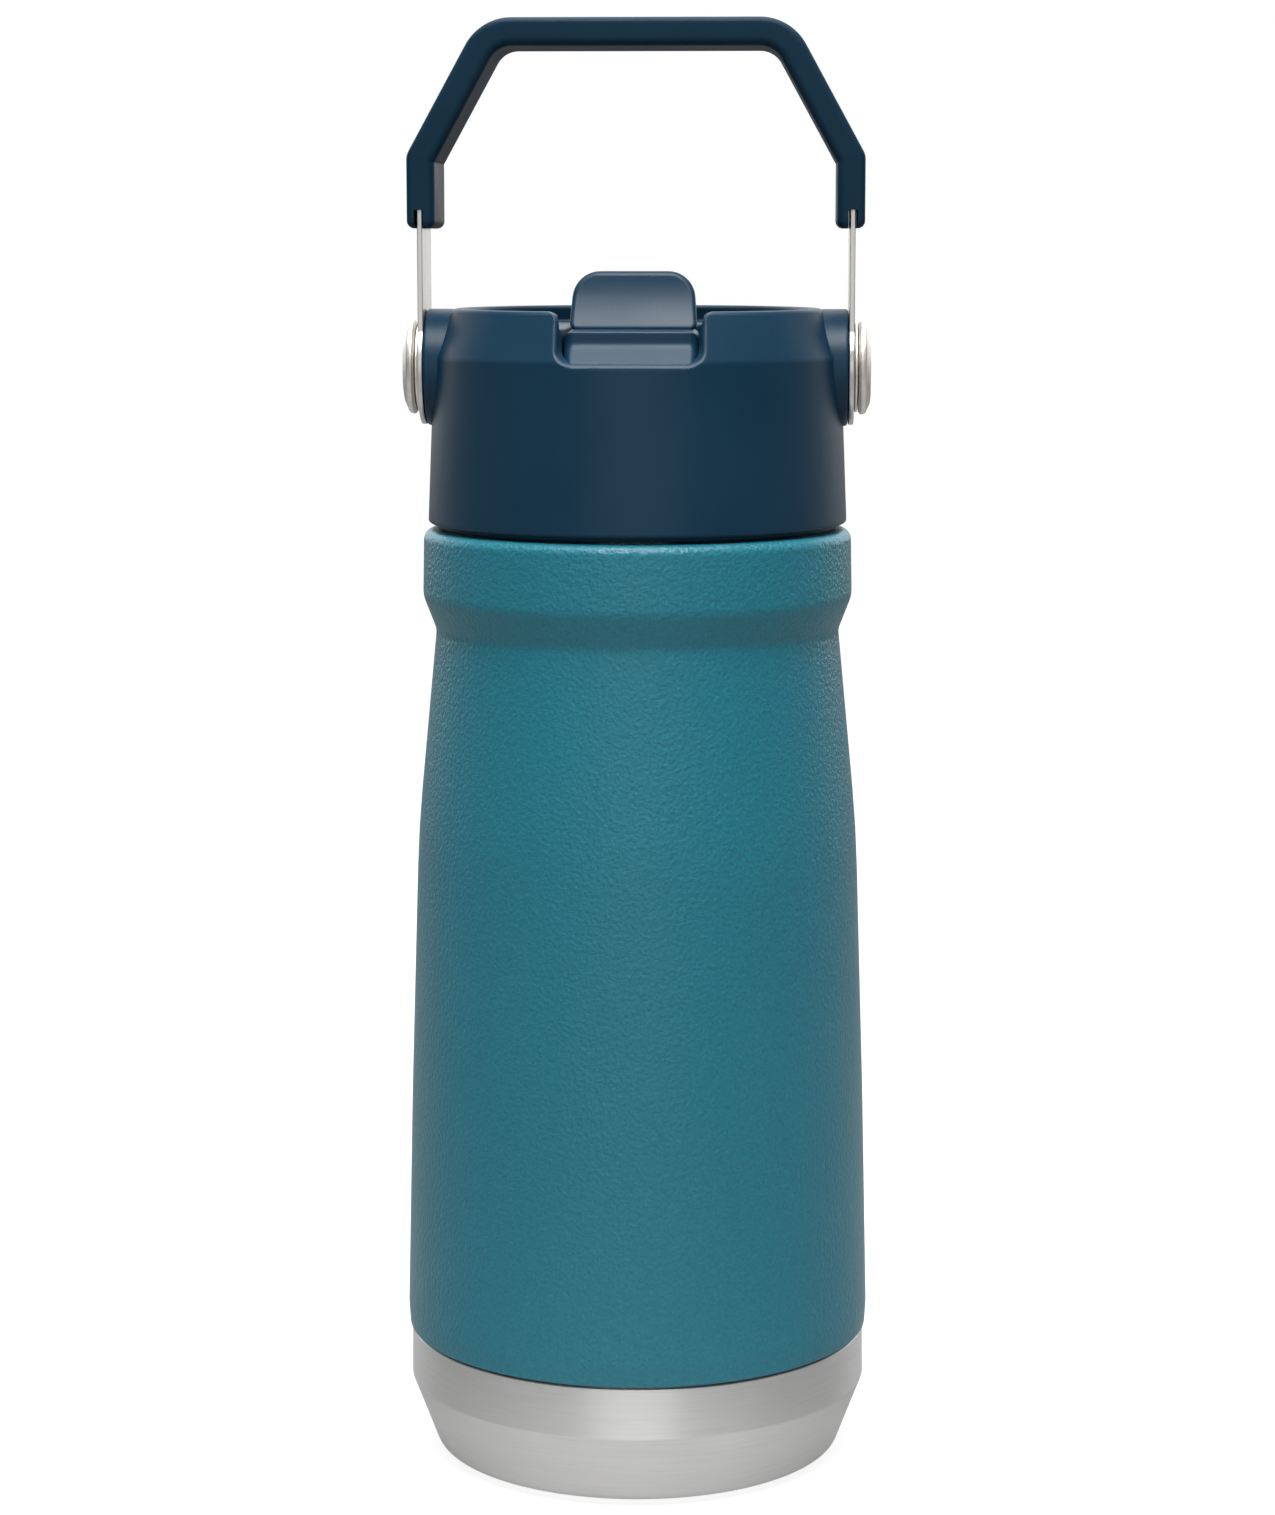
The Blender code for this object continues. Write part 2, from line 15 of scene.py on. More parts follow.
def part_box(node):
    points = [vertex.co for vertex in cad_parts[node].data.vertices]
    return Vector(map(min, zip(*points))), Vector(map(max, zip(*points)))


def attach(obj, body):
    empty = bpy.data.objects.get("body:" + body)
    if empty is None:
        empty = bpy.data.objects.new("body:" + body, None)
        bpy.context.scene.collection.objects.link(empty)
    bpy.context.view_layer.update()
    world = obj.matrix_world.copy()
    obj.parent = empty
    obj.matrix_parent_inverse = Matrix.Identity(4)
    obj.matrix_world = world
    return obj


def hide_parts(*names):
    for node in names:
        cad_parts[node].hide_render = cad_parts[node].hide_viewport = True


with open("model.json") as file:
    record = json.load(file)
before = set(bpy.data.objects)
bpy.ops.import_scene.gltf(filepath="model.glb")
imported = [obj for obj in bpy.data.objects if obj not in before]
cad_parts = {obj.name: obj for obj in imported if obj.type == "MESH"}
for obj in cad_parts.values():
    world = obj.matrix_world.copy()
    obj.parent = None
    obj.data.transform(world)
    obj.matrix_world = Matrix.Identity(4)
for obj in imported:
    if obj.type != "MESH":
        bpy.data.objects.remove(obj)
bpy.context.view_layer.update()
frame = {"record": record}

MM = 0.001
RECORD = frame["record"]
SLOT_OF = {part["node"]: part["material_slot"] for part in RECORD["subparts"]}
BODY_OF = {node: body for body, nodes in RECORD["behaviour"]["bodies"].items() for node in nodes}
JOINTS = {joint["name"]: joint for joint in RECORD["behaviour"]["joints"]}


def span(node, axis):
    """Lowest and highest place of a CAD node along x, y or z, in millimetres."""
    low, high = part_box(node)
    return low["xyz".index(axis)] / MM, high["xyz".index(axis)] / MM


# ---- places taken from the frame --------------------------------------------------------------
BASE_TOP, SHOULDER_TOP = span("outer_shell", "z")
BODY_R = span("outer_shell", "x")[1]
LAP_TOP = span("base_cup", "z")[1]
COLLAR_BOTTOM, RIM_TOP = span("lid_collar", "z")
BOSS_FACE = span("lid_collar", "x")[1]
PIVOT_Z = JOINTS["handle_swing"]["pos_m"][2] / MM
HINGE_Z = JOINTS["spout_flip"]["pos_m"][2] / MM
GRIP_BOTTOM, GRIP_TOP = span("grip", "z")
GRIP_OUTER = span("grip", "x")[1]
GRIP_HALF = span("grip", "y")[1]
STRAP_IN, STRAP_OUT = span("handle_strap_right", "x")
STRAP_TOP = span("handle_strap_right", "z")[1]
SPOUT_HALF = span("flip_spout", "x")[1]
SPOUT_FRONT = span("flip_spout", "y")[0]
TAB_TOP = span("flip_spout", "z")[1]

# ---- driving dimensions of the finer shapes ---------------------------------------------------
WALL = 0.6               # sheet steel
SKIRT_R = 29.5           # inside of the collar wall
DECK_TOP = RIM_TOP - 2.7
DECK_UNDER = DECK_TOP - 2.2
CREASE_Z = 180.0         # where the collar starts to lean in
CREASE_R = 32.6
FOOT_R = 33.68           # collar wall near its lower edge
RIM_R = 29.46            # the leaning part carried up to the rim
BOSS_R = 9.3
WELL_FLOOR = 169.0
WELL_HALF = SPOUT_HALF + 0.3
WELL_FRONT = SPOUT_FRONT - 1.0
WELL_BACK = 9.2
NOTCH_HALF = 10.5
NOTCH_FLOOR = 179.8
BORE_R = 3.2             # drinking bore, through riser, straw and spout
STRAW_R = 4.3            # outside of the straw and of the riser's nipple
PIN_R = 1.5              # stub pins of the spout hinge
PIN_HOLE_R = 1.8
NECK_R = 27.0
PLUG_R = 24.8
VENT_Y = -14.0
THREAD_HEIGHT = 1.8
THREAD_LEAD = 10.0
THREAD_TURNS = 0.75
GRIP_THICK = 4.45
STRAP_HALF = 7.0
EYE_R = 9.1
SHANK_HOLE_R = 2.8       # where the rivet shank passes through
PEG_R = 1.5              # peg that ties a strap into the grip
PEG_HOLE_R = 1.9
PEG_Z = STRAP_TOP - 4.2
STEPS = 224              # around the large visible turned pieces
MIDDLE_STEPS = 144       # around the pieces that the lid and the shell hide
RING_STEPS = 96          # around bosses, rivets and one turn of a thread
SMALL_STEPS = 72


# ---- outline helpers --------------------------------------------------------------------------
def rounded(corners, closed=True, turn=9.0):
    """A polyline through corners (a, b, radius), each corner an arc with a point every few degrees."""
    points = []
    count = len(corners)
    for k, (a, b, radius) in enumerate(corners):
        at_end = not closed and k in (0, count - 1)
        if radius <= 0.0 or at_end:
            points.append((a, b))
            continue
        here = Vector((a, b))
        back = Vector(corners[k - 1][:2]) - here
        ahead = Vector(corners[(k + 1) % count][:2]) - here
        half = back.angle(ahead) / 2.0
        reach = min(radius / math.tan(half), 0.499 * back.length, 0.499 * ahead.length)
        arc_r = reach * math.tan(half)
        centre = here + (back.normalized() + ahead.normalized()).normalized() * (arc_r / math.sin(half))
        first = here + back.normalized() * reach - centre
        last = here + ahead.normalized() * reach - centre
        sweep = math.atan2(first.x * last.y - first.y * last.x, first.dot(last))
        steps = max(2, math.ceil(abs(sweep) / math.radians(turn)))
        start = math.atan2(first.y, first.x)
        for n in range(steps + 1):
            angle = start + sweep * n / steps
            points.append((centre.x + arc_r * math.cos(angle), centre.y + arc_r * math.sin(angle)))
    return points


def arc(centre, radius, start, end, count):
    """Points on an arc, angles in degrees."""
    points = []
    for k in range(count + 1):
        angle = math.radians(start + (end - start) * k / count)
        points.append((centre[0] + radius * math.cos(angle), centre[1] + radius * math.sin(angle)))
    return points


def disc(radius, centre, count=64):
    """A round outline, started off the axes so that cuts miss the corners of what they cut."""
    return arc(centre, radius, 1.3, 361.3 - 360.0 / count, count - 1)


def grown(outline, distance):
    """A closed outline moved outwards square to its edges, inwards for a negative distance."""
    count = len(outline)
    area = sum(outline[k - 1][0] * outline[k][1] - outline[k][0] * outline[k - 1][1] for k in range(count))
    outwards = math.copysign(1.0, area)
    points = []
    for k in range(count):
        here = Vector(outline[k])
        before = (here - Vector(outline[k - 1])).normalized()
        after = (Vector(outline[(k + 1) % count]) - here).normalized()
        normal = Vector((before.y + after.y, -before.x - after.x))
        stretch = max(0.5, normal.length / 2.0)
        shift = normal.normalized() * (outwards * distance / stretch)
        points.append((here.x + shift.x, here.y + shift.y))
    return points


def inset(corners, distance):
    """Rounded corners moved inwards: outward bends lose radius and hollows gain it."""
    moved_points = grown([corner[:2] for corner in corners], -distance)
    count = len(corners)
    turns = []
    for k in range(count):
        here = Vector(corners[k][:2])
        back = here - Vector(corners[k - 1][:2])
        ahead = Vector(corners[(k + 1) % count][:2]) - here
        turns.append(back.x * ahead.y - back.y * ahead.x)
    main = math.copysign(1.0, sum(math.copysign(1.0, turn) for turn in turns))
    result = []
    for (a, b), corner, turn in zip(moved_points, corners, turns):
        radius = corner[2]
        if radius > 0.0:
            radius = max(radius - distance, 0.08) if turn * main > 0.0 else radius + distance
        result.append((a, b, radius))
    return rounded(result)


def quarter(radius, count=4):
    """Steps of a rounded edge as (depth from the face, inset of the outline)."""
    steps = []
    for k in range(count + 1):
        angle = math.pi / 2.0 * k / count
        steps.append((radius * (1.0 - math.cos(angle)), radius * (1.0 - math.sin(angle))))
    return steps


# ---- mesh helpers -----------------------------------------------------------------------------
def lathe(outline, steps=STEPS):
    """Spin a closed (radius, height) outline about Z; points on the axis become single poles."""
    bm = bmesh.new()
    rings = []
    for radius, height in outline:
        if radius < 1e-6:
            rings.append([bm.verts.new((0.0, 0.0, height))])
            continue
        ring = []
        for k in range(steps):
            angle = 2.0 * math.pi * k / steps
            ring.append(bm.verts.new((radius * math.cos(angle), radius * math.sin(angle), height)))
        rings.append(ring)
    for low, high in zip(rings, rings[1:] + rings[:1]):
        if len(low) == 1 and len(high) == 1:
            continue
        for k in range(steps):
            n = (k + 1) % steps
            if len(low) == 1:
                bm.faces.new((low[0], high[n], high[k]))
            elif len(high) == 1:
                bm.faces.new((low[k], low[n], high[0]))
            else:
                bm.faces.new((low[k], low[n], high[n], high[k]))
    return bm


def loft(rings):
    """Skin a list of equal rings of points and close both ends."""
    bm = bmesh.new()
    rows = [[bm.verts.new(point) for point in ring] for ring in rings]
    count = len(rows[0])
    for low, high in zip(rows, rows[1:]):
        for k in range(count):
            n = (k + 1) % count
            bm.faces.new((low[k], low[n], high[n], high[k]))
    bm.faces.new(rows[0])
    bm.faces.new(rows[-1][::-1])
    return bm


def slab(outline, axis, start, end, edge=0.0, steps=4):
    """Extrude a closed outline along X (outline y, z), Y (x, z) or Z (x, y), with rounded end edges."""
    stations = [(start, 0.0), (end, 0.0)]
    if edge > 0.0:
        near = [(start + depth, shrink) for depth, shrink in quarter(edge, steps)]
        far = [(end - depth, shrink) for depth, shrink in reversed(quarter(edge, steps))]
        stations = near + far
    rings = []
    for place, shrink in stations:
        ring = grown(outline, -shrink) if shrink > 0.0 else outline
        if axis == "X":
            rings.append([(place, a, b) for a, b in ring])
        elif axis == "Y":
            rings.append([(a, place, b) for a, b in ring])
        else:
            rings.append([(a, b, place) for a, b in ring])
    return loft(rings)


def subdivide_across(bm, count):
    """Level cuts at even heights, so that a flat plate can be curved."""
    heights = [vert.co.z for vert in bm.verts]
    low, high = min(heights), max(heights)
    for k in range(1, count):
        parts = bm.verts[:] + bm.edges[:] + bm.faces[:]
        bmesh.ops.bisect_plane(bm, geom=parts, plane_co=(0.0, 0.0, low + (high - low) * k / count),
                               plane_no=(0.0, 0.0, 1.0), dist=0.001)


def moved(bm, *matrices):
    """A bmesh after one transform or several, in turn."""
    for matrix in matrices:
        bm.transform(matrix)
    return bm


def onto_x(bm, side, height):
    """Turn a lathe about Z onto the X axis, its heights becoming distances from the bottle's axis."""
    return moved(bm, Matrix.Rotation(side * math.radians(90.0), 4, "Y"),
                 Matrix.Translation((0.0, 0.0, height)))


def solid(name, bm):
    """A bmesh in millimetres as a linked object in metres."""
    bmesh.ops.recalc_face_normals(bm, faces=bm.faces)
    bm.transform(Matrix.Scale(MM, 4))
    mesh = bpy.data.meshes.new(name)
    bm.to_mesh(mesh)
    bm.free()
    piece = bpy.data.objects.new(name, mesh)
    bpy.context.scene.collection.objects.link(piece)
    return piece


def combine(piece, *tools):
    """Join or cut a piece with (operation, bmesh) tools, leaving its plain mesh."""
    helpers = []
    for operation, bm in tools:
        helper = solid(piece.name + "_tool", bm)
        modifier = piece.modifiers.new("shape", "BOOLEAN")
        modifier.operation = operation
        modifier.solver = "EXACT"
        modifier.object = helper
        helpers.append(helper)
    depsgraph = bpy.context.evaluated_depsgraph_get()
    mesh = bpy.data.meshes.new_from_object(piece.evaluated_get(depsgraph))
    piece.modifiers.clear()
    old = piece.data
    piece.data = mesh
    bpy.data.meshes.remove(old)
    for helper in helpers:
        mesh = helper.data
        bpy.data.objects.remove(helper)
        bpy.data.meshes.remove(mesh)
    return piece


def stand_for(piece, node, sharp=32.0):
    """Shade a piece smooth, give it its slot's material and let it stand for a CAD node."""
    mesh = piece.data
    mesh.materials.clear()
    mesh.materials.append(MATERIALS[SLOT_OF[node]])
    mesh.shade_smooth()
    mesh.set_sharp_from_angle(angle=math.radians(sharp))
    normals = piece.modifiers.new("normals", "WEIGHTED_NORMAL")
    normals.keep_sharp = True
    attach(piece, BODY_OF[node])
    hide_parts(node)
    return piece


def turned(node, corners, steps=STEPS, centre=(0.0, 0.0)):
    """A turned piece from rounded (radius, height, fillet) corners."""
    bm = lathe(rounded(corners), steps)
    bm.transform(Matrix.Translation((centre[0], centre[1], 0.0)))
    return stand_for(solid(node + "_fine", bm), node)


# ---- material helpers -------------------------------------------------------------------------
def add_node(tree, kind, inputs=None, **settings):
    """Add a node; an input is a number, a colour or the output socket that feeds it."""
    item = tree.nodes.new(kind)
    for key, value in settings.items():
        setattr(item, key, value)
    for key, value in (inputs or {}).items():
        if isinstance(value, bpy.types.NodeSocket):
            tree.links.new(value, item.inputs[key])
        else:
            item.inputs[key].default_value = value
    return item


def new_material(name):
    """A new node material with its tree and its Principled shader."""
    mat = bpy.data.materials.new(name)
    mat.use_nodes = True
    return mat, mat.node_tree, mat.node_tree.nodes["Principled BSDF"]


def noise(tree, scale, detail=2.0, stretch=(1.0, 1.0, 1.0), roughness=0.5):
    """Noise in the piece's own metres; stretch scales the three axes, so 0.02 draws a grain out."""
    place = add_node(tree, "ShaderNodeTexCoord").outputs["Object"]
    if stretch != (1.0, 1.0, 1.0):
        place = add_node(tree, "ShaderNodeMapping", {"Vector": place, "Scale": stretch}).outputs[0]
    return add_node(tree, "ShaderNodeTexNoise", {
        "Vector": place, "Scale": scale, "Detail": detail, "Roughness": roughness}).outputs["Fac"]


def remap(tree, value, low, high, start=0.3, stop=0.7):
    """A value from low to high as another goes from start to stop, held at both ends."""
    return add_node(tree, "ShaderNodeMapRange", {
        "Value": value, "From Min": start, "From Max": stop, "To Min": low, "To Max": high}).outputs[0]


def shade(tree, value, dark, light, start=0.3, stop=0.7):
    """A colour between two by a value."""
    ramp = add_node(tree, "ShaderNodeValToRGB", {"Fac": value})
    first, last = ramp.color_ramp.elements
    first.position, first.color = start, (*dark, 1.0)
    last.position, last.color = stop, (*light, 1.0)
    return ramp.outputs["Color"]


def bump(tree, height, depth_mm, normal=None):
    """Relief of a height map whose full range is depth_mm deep."""
    inputs = {"Height": height, "Strength": 1.0, "Distance": depth_mm * MM}
    if normal:
        inputs["Normal"] = normal
    return add_node(tree, "ShaderNodeBump", inputs).outputs["Normal"]


def feed(tree, shader, **sockets):
    """Link or set Principled sockets; underscores in the names stand for spaces."""
    for key, value in sockets.items():
        socket = shader.inputs[key.replace("_", " ")]
        if isinstance(value, bpy.types.NodeSocket):
            tree.links.new(value, socket)
        else:
            socket.default_value = value


# ---- materials --------------------------------------------------------------------------------
def powder_coat():
    """Teal powder coat: orange peel about a millimetre across over a finer grain."""
    mat, tree, shader = new_material("teal_powder_coat")
    peel = noise(tree, 1500.0, 3.0)
    grain = noise(tree, 3600.0, 2.0)
    cloud = noise(tree, 55.0, 2.0)
    relief = bump(tree, grain, 0.02, bump(tree, peel, 0.26))
    speckle = noise(tree, 2000.0, 3.0, roughness=0.7)
    tone = shade(tree, speckle, (0.0090, 0.140, 0.194), (0.0200, 0.190, 0.252))
    colour = add_node(tree, "ShaderNodeMix", {
        "Factor": remap(tree, cloud, 0.0, 0.25), "A": tone, "B": (0.0120, 0.150, 0.206, 1.0),
    }, data_type="RGBA")
    feed(tree, shader, Base_Color=colour.outputs["Result"], Normal=relief,
         Roughness=remap(tree, cloud, 0.29, 0.34), IOR=1.5, Specular_IOR_Level=0.36)
    return mat


def brushed_round():
    """Satin steel brushed round the bottle's axis."""
    mat, tree, shader = new_material("steel_brushed_round")
    streak = noise(tree, 70.0, 4.0, (1.0, 1.0, 60.0), 0.65)
    hair = noise(tree, 190.0, 3.0, (1.0, 1.0, 50.0), 0.6)
    blotch = noise(tree, 45.0, 2.0, (1.0, 1.0, 3.0))
    feed(tree, shader, Metallic=1.0, Anisotropic=0.8, Anisotropic_Rotation=0.25,
         Base_Color=shade(tree, streak, (0.585, 0.58, 0.575), (0.655, 0.65, 0.645), 0.25, 0.75),
         Roughness=remap(tree, blotch, 0.34, 0.41),
         Normal=bump(tree, hair, 0.0012, bump(tree, streak, 0.0015)),
         Tangent=add_node(tree, "ShaderNodeTangent", direction_type="RADIAL", axis="Z").outputs[0])
    return mat


def brushed_long():
    """Sheet steel brushed along the straps."""
    mat, tree, shader = new_material("steel_brushed_long")
    streak = noise(tree, 1800.0, 3.0, (1.0, 1.0, 0.03), 0.6)
    blotch = noise(tree, 90.0, 2.0, (1.0, 1.0, 0.4))
    feed(tree, shader, Metallic=1.0,
         Base_Color=shade(tree, streak, (0.56, 0.545, 0.525), (0.66, 0.645, 0.62), 0.25, 0.75),
         Roughness=remap(tree, blotch, 0.26, 0.36),
         Normal=bump(tree, streak, 0.003))
    return mat


def tumbled_steel():
    """Rivets and washers tumbled to a soft shine, with fine dents."""
    mat, tree, shader = new_material("steel_tumbled")
    dents = noise(tree, 1300.0, 2.0)
    grain = noise(tree, 5200.0, 2.0)
    feed(tree, shader, Metallic=1.0,
         Base_Color=shade(tree, dents, (0.72, 0.69, 0.645), (0.82, 0.79, 0.74)),
         Roughness=remap(tree, noise(tree, 380.0, 2.0), 0.36, 0.48),
         Normal=bump(tree, grain, 0.0015, bump(tree, dents, 0.006)))
    return mat


def bright_steel():
    """Electropolished drawn steel: faint drawing lines and an uneven, nearly mirror shine."""
    mat, tree, shader = new_material("steel_electropolished")
    drawn = noise(tree, 40.0, 3.0, (1.0, 1.0, 24.0))
    ripple = noise(tree, 130.0, 1.0)
    feed(tree, shader, Metallic=1.0,
         Base_Color=shade(tree, drawn, (0.60, 0.59, 0.57), (0.69, 0.68, 0.66)),
         Roughness=remap(tree, drawn, 0.14, 0.24),
         Normal=bump(tree, drawn, 0.003, bump(tree, ripple, 0.012)))
    return mat


def moulded_plastic(name, dark, light, rough_low, rough_high, shine=0.25):
    """Moulded plastic with a spark-eroded texture and slow flow marks."""
    mat, tree, shader = new_material(name)
    spark = noise(tree, 2600.0, 3.0, roughness=0.6)
    flow = noise(tree, 60.0, 2.0)
    tone = shade(tree, flow, dark, light, 0.35, 0.65)
    feed(tree, shader, Base_Color=tone, IOR=1.47, Specular_IOR_Level=shine,
         Roughness=remap(tree, flow, rough_low, rough_high),
         Normal=bump(tree, spark, 0.010, bump(tree, flow, 0.02)))
    return mat


def silicone_rubber():
    """Soft translucent grey silicone with a slightly tacky, dusty surface."""
    mat, tree, shader = new_material("grey_silicone")
    skin = noise(tree, 1400.0, 3.0)
    dust = noise(tree, 300.0, 4.0)
    feed(tree, shader, Base_Color=shade(tree, dust, (0.50, 0.52, 0.53), (0.60, 0.62, 0.63)),
         Roughness=remap(tree, dust, 0.42, 0.62), IOR=1.41,
         Subsurface_Weight=0.3, Subsurface_Scale=0.001, Subsurface_Radius=(1.0, 1.0, 1.0),
         Normal=bump(tree, skin, 0.006))
    return mat


def copper_foil():
    """Wrapped copper foil: sharp crinkles and darker heat tint in patches."""
    mat, tree, shader = new_material("copper_foil")
    place = add_node(tree, "ShaderNodeTexCoord").outputs["Object"]
    creases = add_node(tree, "ShaderNodeTexVoronoi", {"Vector": place, "Scale": 210.0},
                       feature="DISTANCE_TO_EDGE").outputs["Distance"]
    tint = noise(tree, 70.0, 3.0)
    feed(tree, shader, Metallic=1.0,
         Base_Color=shade(tree, tint, (0.58, 0.25, 0.15), (0.78, 0.41, 0.26)),
         Roughness=remap(tree, tint, 0.18, 0.34),
         Normal=bump(tree, remap(tree, creases, 0.0, 1.0, 0.0, 0.25), 0.12))
    return mat


def sintered_alloy():
    """Getter pill: pressed grey powder with dark pores."""
    mat, tree, shader = new_material("sintered_alloy")
    place = add_node(tree, "ShaderNodeTexCoord").outputs["Object"]
    pores = add_node(tree, "ShaderNodeTexVoronoi", {"Vector": place, "Scale": 2600.0})
    grains = pores.outputs["Distance"]
    feed(tree, shader, Metallic=0.7,
         Base_Color=shade(tree, grains, (0.25, 0.25, 0.26), (0.09, 0.09, 0.095), 0.2, 0.8),
         Roughness=remap(tree, grains, 0.5, 0.8, 0.0, 0.8),
         Normal=bump(tree, grains, 0.05))
    return mat


def straw_plastic():
    """Smoke-grey polypropylene tube with faint extrusion lines."""
    mat, tree, shader = new_material("smoke_polypropylene")
    lines = noise(tree, 1500.0, 2.0, (1.0, 1.0, 0.01))
    feed(tree, shader, Base_Color=shade(tree, lines, (0.40, 0.45, 0.48), (0.50, 0.55, 0.58)),
         Roughness=remap(tree, lines, 0.24, 0.34), IOR=1.49,
         Subsurface_Weight=0.35, Subsurface_Scale=0.0015,
         Normal=bump(tree, lines, 0.01))
    return mat


def build_materials():
    """One material for each slot of the record."""
    navy = moulded_plastic(
        "navy_plastic", (0.0028, 0.0265, 0.0540), (0.0037, 0.0295, 0.0590), 0.36, 0.43)
    grip = moulded_plastic(
        "navy_grip", (0.0026, 0.0205, 0.0400), (0.0036, 0.0235, 0.0440), 0.46, 0.55, 0.13)
    black = moulded_plastic(
        "black_nylon", (0.006, 0.006, 0.0065), (0.010, 0.010, 0.0105), 0.38, 0.5)
    return {
        "teal_paint": powder_coat(), "bare_steel": brushed_round(), "bright_steel": bright_steel(),
        "strap_steel": brushed_long(), "rivet_steel": tumbled_steel(), "copper_foil": copper_foil(),
        "getter_alloy": sintered_alloy(), "navy_plastic": navy, "navy_grip": grip,
        "silicone": silicone_rubber(), "straw_plastic": straw_plastic(), "black_nylon": black,
    }


# ---- vacuum body ------------------------------------------------------------------------------
def build_shell():
    """Painted shell: bead and groove under the lid, long taper, rounded paint edge."""
    outside = [
        (28.6, SHOULDER_TOP, 0.0), (34.4, SHOULDER_TOP, 1.7), (34.62, 141.9, 4.8),
        (32.5, 136.4, 3.0), (35.66, 104.0, 200.0), (37.12, 60.0, 400.0),
        (BODY_R, 24.3, 12.0), (37.78, BASE_TOP, 0.4),
    ]
    inside = [
        (37.0, BASE_TOP, 0.0), (37.3, 26.0, 0.0), (36.5, 60.0, 0.0), (35.05, 104.0, 0.0),
        (31.9, 136.4, 0.0), (34.0, 142.4, 0.0), (33.8, SHOULDER_TOP - 1.2, 0.0),
        (33.0, SHOULDER_TOP - WALL, 0.0), (28.6, SHOULDER_TOP - WALL, 0.0),
    ]
    turned("outer_shell", outside + inside)


def build_base():
    """Bare steel cup: short upright band, taper to the foot, resting ring and raised floor."""
    foot = 0.0
    raised = 1.8
    hole_r = 1.8
    lap_r = 36.6
    outside = [
        (lap_r, LAP_TOP, 0.0), (lap_r, BASE_TOP - 0.3, 0.0), (37.42, BASE_TOP - 0.3, 0.25),
        (37.52, 12.35, 1.1), (33.15, 0.9, 1.9), (28.0, foot, 2.0),
    ]
    floor = [
        (25.2, foot, 1.2), (23.6, raised, 1.2), (hole_r, raised, 0.25),
        (hole_r, raised + WALL, 0.0), (23.4, raised + WALL, 0.0), (25.4, WALL, 0.0),
    ]
    inside = [
        (28.0, WALL, 0.0), (32.7, 1.5, 0.0), (36.8, 12.4, 0.0),
        (lap_r - WALL, 20.0, 0.0), (lap_r - WALL, LAP_TOP, 0.0),
    ]
    turned("base_cup", outside + floor + inside)


def thread(wall_r, crest_r, bottom, first_angle):
    """One rounded helical ridge with tapered ends, its root sunk into the wall it stands on."""
    root, crest, sink = 2.3, 1.2, 0.4
    taper_steps, blunt_end = 9.0, 0.04
    sunk = wall_r - sink if crest_r > wall_r else wall_r + sink
    steps = round(THREAD_TURNS * RING_STEPS)
    rings = []
    for k in range(steps + 1):
        angle = first_angle + 2.0 * math.pi * THREAD_TURNS * k / steps
        height = bottom + THREAD_LEAD * THREAD_TURNS * k / steps
        from_end = min(k, steps - k) / taper_steps + blunt_end
        fade = math.sin(math.pi / 2.0 * min(1.0, from_end))
        top = wall_r + (crest_r - wall_r) * fade
        low = wall_r + (top - wall_r) * 0.75
        section = [(sunk, -root / 2), (wall_r, -root / 2 + 0.05), (low, -crest / 2 - 0.1),
                   (top, -crest / 2 + 0.25), (top, crest / 2 - 0.25), (low, crest / 2 + 0.1),
                   (wall_r, root / 2 - 0.05), (sunk, root / 2)]
        rings.append([(r * math.cos(angle), r * math.sin(angle), height + dz) for r, dz in section])
    return loft(rings)


def threads(wall_r, crest_r, bottom, first_angle):
    """The two starts of a thread, opposite each other, as union tools."""
    return [("UNION", thread(wall_r, crest_r, bottom, first_angle + math.pi * start))
            for start in (0, 1)]


def build_vessel():
    """Inner vessel: rolled drinking lip, threaded neck, body and rounded floor."""
    floor = 8.7
    lip_top = 153.2
    lip = [
        (NECK_R, 152.5, 0.0), (NECK_R, lip_top, 0.45), (28.3, lip_top, 0.45), (28.3, 152.2, 0.2),
        (27.9, 151.6, 0.0),
    ]
    outside = [
        (27.9, 139.5, 1.0), (29.3, 136.2, 2.0), (32.5, 104.5, 60.0), (34.6, 30.0, 20.0),
        (34.2, 14.6, 9.0), (26.0, floor, 8.0), (0.0, floor, 0.0),
    ]
    inside = [
        (0.0, floor + WALL, 0.0), (25.8, floor + WALL, 8.0), (33.6, 14.9, 9.0), (34.0, 30.0, 20.0),
        (31.9, 104.5, 60.0), (28.7, 136.2, 2.0), (NECK_R, 139.2, 1.0),
    ]
    piece = solid("inner_vessel_fine", lathe(rounded(lip + outside + inside), MIDDLE_STEPS))
    combine(piece, *threads(NECK_R, NECK_R - THREAD_HEIGHT, 143.0, math.radians(90.0)))
    stand_for(piece, "inner_vessel")


# ---- lid --------------------------------------------------------------------------------------
def collar_radius(height):
    """Outer radius of the collar: nearly upright below the crease, leaning in above it."""
    if height <= CREASE_Z:
        share = (height - COLLAR_BOTTOM) / (CREASE_Z - COLLAR_BOTTOM)
        return FOOT_R + (CREASE_R - FOOT_R) * share
    share = (height - CREASE_Z) / (RIM_TOP - CREASE_Z)
    return CREASE_R + (RIM_R - CREASE_R) * share


